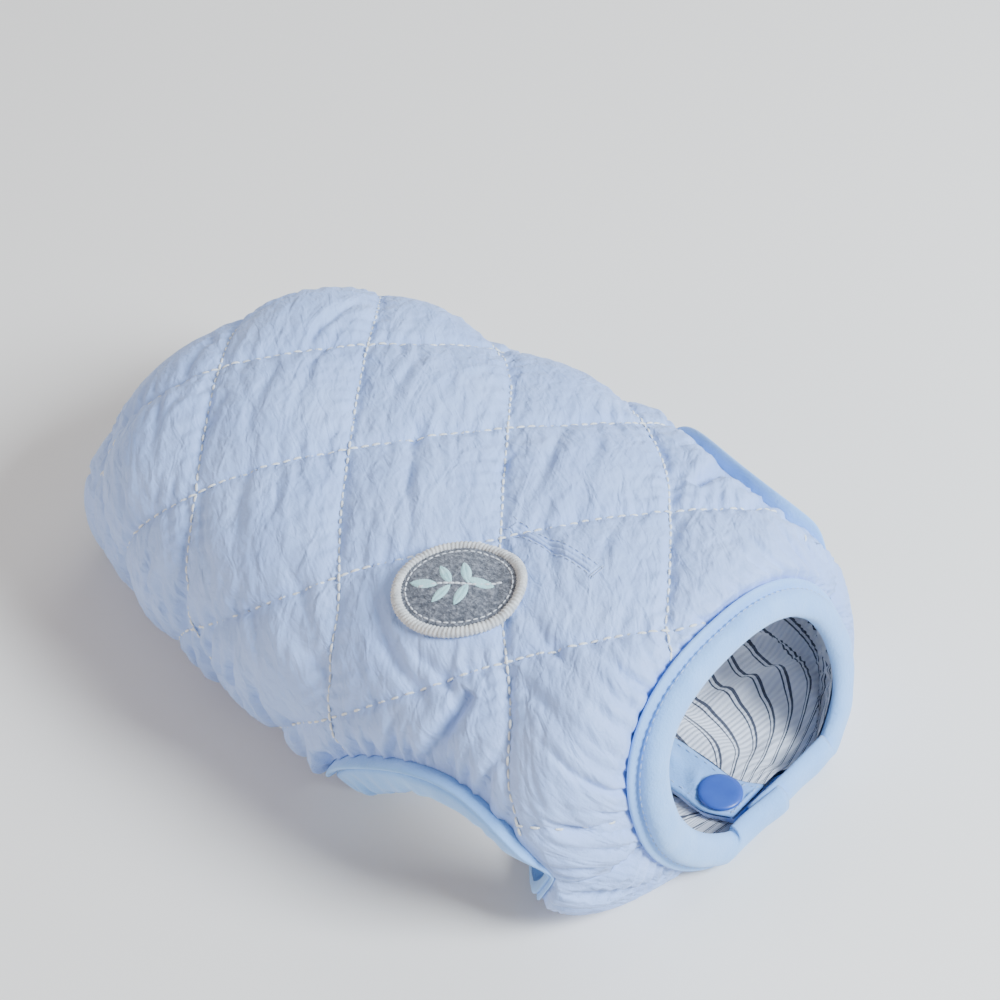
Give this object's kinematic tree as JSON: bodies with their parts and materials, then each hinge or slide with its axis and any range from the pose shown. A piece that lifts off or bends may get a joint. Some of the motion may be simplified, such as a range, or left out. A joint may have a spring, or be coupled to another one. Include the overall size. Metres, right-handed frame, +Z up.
{
  "type": "dog winter coat",
  "caption": "Quilted, lined sleeveless coat for a small dog, filled out and lying on its belly, with an open neck, armholes and hem and a snap closure under the belly.",
  "frame": {"origin": "on the floor under the middle of the coat's bounding box", "axes": "+X towards the neck, -Y towards the wearer's right side with the patch, +Z up; the coat rests on its belly at z = 0"},
  "size_m": [0.226, 0.1504, 0.0807],
  "materials": {
    "shell": "crinkled light blue nylon-like cloth with a soft satin sheen, quilted in diamonds",
    "lining": "off-white ribbed cloth with narrow navy stripes",
    "binding": "matt light blue jersey",
    "snap": "smooth periwinkle plastic",
    "patch_field": "matt dark heather grey embroidered cloth",
    "patch_border": "beige merrowed thread"
  },
  "bodies": {
    "root": {"back_panel": "shell", "back_lining": "lining", "chest_panel_right": "shell", "chest_lining_right": "lining", "placket_tape_right": "binding", "armhole_binding_right": "binding", "chest_panel_left": "shell", "chest_lining_left": "lining", "placket_tape_left": "binding", "armhole_binding_left": "binding", "neck_binding": "binding", "hem_binding": "binding", "snap_cap_inner_1": "snap", "snap_cap_outer_1": "snap", "snap_cap_inner_2": "snap", "snap_cap_outer_2": "snap", "snap_cap_inner_3": "snap", "snap_cap_outer_3": "snap", "patch_field": "patch_field", "patch_border": "patch_border", "leash_slit": "shell"}
  },
  "joints": []
}
